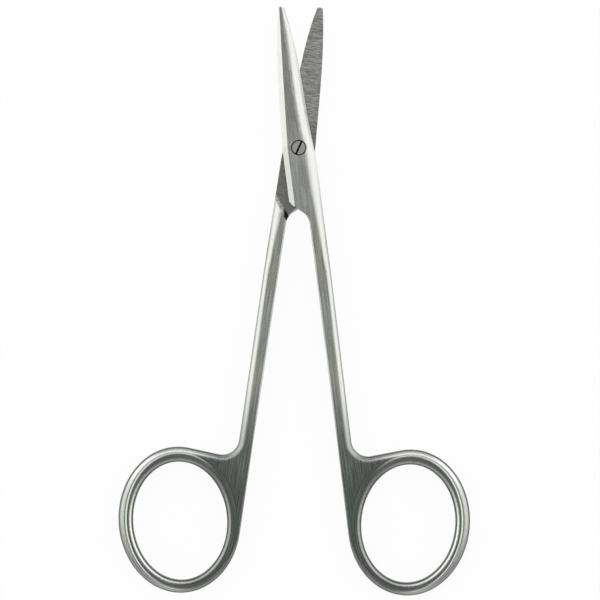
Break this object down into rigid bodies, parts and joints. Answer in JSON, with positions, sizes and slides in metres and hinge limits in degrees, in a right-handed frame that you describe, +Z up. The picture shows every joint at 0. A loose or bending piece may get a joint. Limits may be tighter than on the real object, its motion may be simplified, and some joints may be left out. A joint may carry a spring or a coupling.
{
  "type": "dissecting scissors",
  "caption": "Slim straight steel dissecting scissors with blunt tips, half-round shanks and oval finger rings, joined by a flush slotted screw.",
  "frame": {"origin": "on the axis of the joint, at the underside of the lower half", "axes": "+Z up out of the flat of the scissors and along the axis of the joint, +Y from the joint towards the tips, halfway between the two blades, +X to the side of the upper half's finger ring"},
  "size_m": [0.0676, 0.1126, 0.0038],
  "materials": {
    "satin_steel": "satin, brushed along the shanks and ground across the inner faces of the blades",
    "screw_steel": "turned and polished flush"
  },
  "bodies": {
    "lower": {"lower_half": "satin_steel", "joint_screw": "screw_steel"},
    "upper": {"upper_half": "satin_steel"}
  },
  "joints": [
    {"name": "pivot", "type": "hinge", "parent": "lower", "child": "upper", "pos_m": [0, 0, 0], "axis": [0, 0, 1], "range_deg": [-15.9, 124]}
  ]
}
